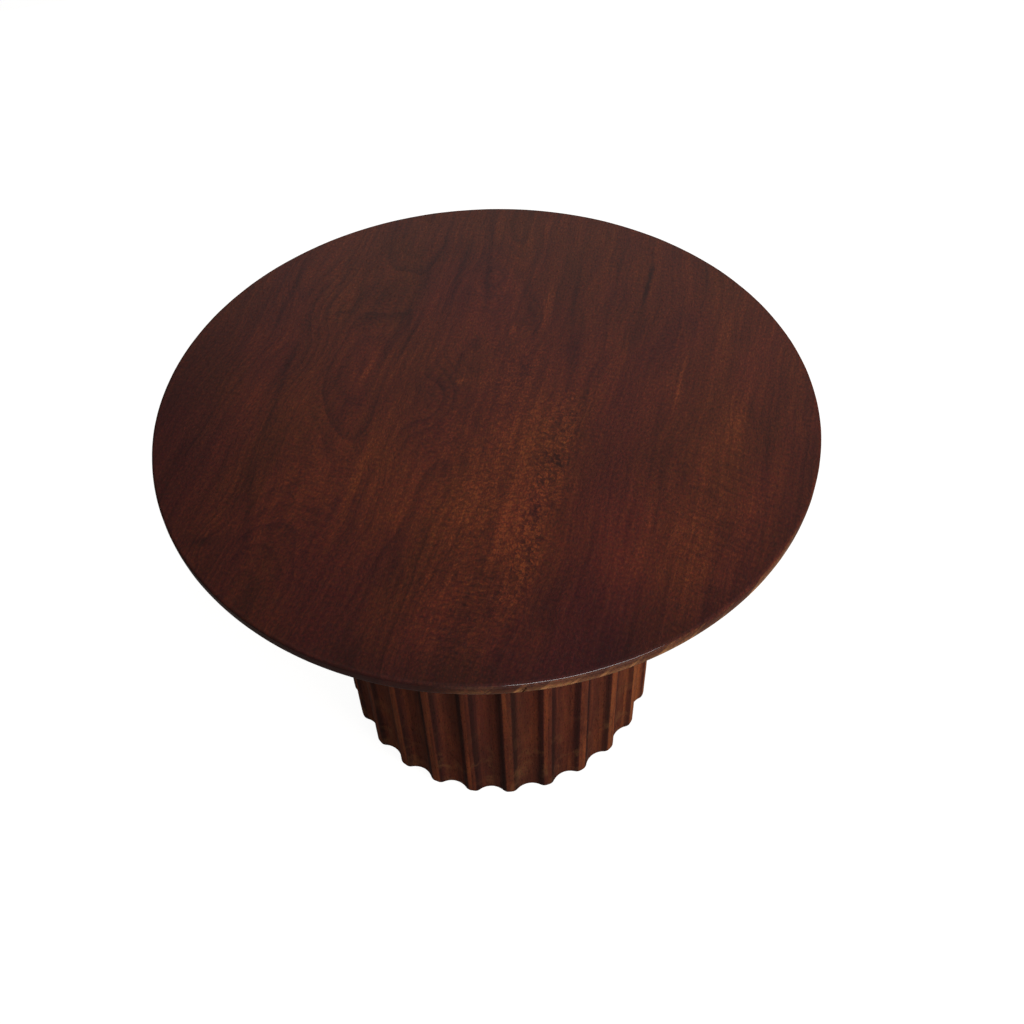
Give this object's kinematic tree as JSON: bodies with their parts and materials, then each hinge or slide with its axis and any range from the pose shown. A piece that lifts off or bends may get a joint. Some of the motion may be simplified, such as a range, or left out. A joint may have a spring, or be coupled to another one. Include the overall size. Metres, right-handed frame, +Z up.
{
  "type": "round pedestal table",
  "caption": "Round dark-stained wooden pedestal table: a thin edge-glued top on a drum base of concave-fluted staves, standing on felt glides.",
  "frame": {"origin": "on the floor under the middle of the drum", "axes": "+Z up, the boards of the top run along Y"},
  "size_m": [0.8, 0.8, 0.56],
  "materials": {
    "top_wood": "dark red-brown stained solid wood, satin lacquer",
    "stave_wood": "dark red-brown stained solid wood, satin lacquer",
    "inner_wood": "plain unstained wood, sanded",
    "dowel_wood": "plain beech",
    "insert_brass": "turned",
    "steel": "zinc plated",
    "glide_plastic": "moulded",
    "felt": "pressed felt"
  },
  "bodies": {
    "root": {"top_board_1": "top_wood", "top_board_2": "top_wood", "top_board_3": "top_wood", "top_board_4": "top_wood", "top_board_5": "top_wood", "top_board_6": "top_wood", "top_board_7": "top_wood", "top_board_8": "top_wood", "stave_01": "stave_wood", "stave_02": "stave_wood", "stave_03": "stave_wood", "stave_04": "stave_wood", "stave_05": "stave_wood", "stave_06": "stave_wood", "stave_07": "stave_wood", "stave_08": "stave_wood", "stave_09": "stave_wood", "stave_10": "stave_wood", "stave_11": "stave_wood", "stave_12": "stave_wood", "stave_13": "stave_wood", "stave_14": "stave_wood", "stave_15": "stave_wood", "stave_16": "stave_wood", "stave_17": "stave_wood", "stave_18": "stave_wood", "stave_19": "stave_wood", "stave_20": "stave_wood", "stave_21": "stave_wood", "stave_22": "stave_wood", "stave_23": "stave_wood", "stave_24": "stave_wood", "stave_25": "stave_wood", "stave_26": "stave_wood", "ring_segment_1": "inner_wood", "ring_segment_2": "inner_wood", "ring_segment_3": "inner_wood", "ring_segment_4": "inner_wood", "ring_segment_5": "inner_wood", "ring_segment_6": "inner_wood", "ring_segment_7": "inner_wood", "ring_segment_8": "inner_wood", "upper_plate": "inner_wood", "top_dowels": "dowel_wood", "stave_splines": "dowel_wood", "threaded_inserts": "insert_brass", "top_bolts": "steel", "top_washers": "steel", "glide_screws": "steel", "glide_cups": "glide_plastic", "glide_felts": "felt"}
  },
  "joints": []
}
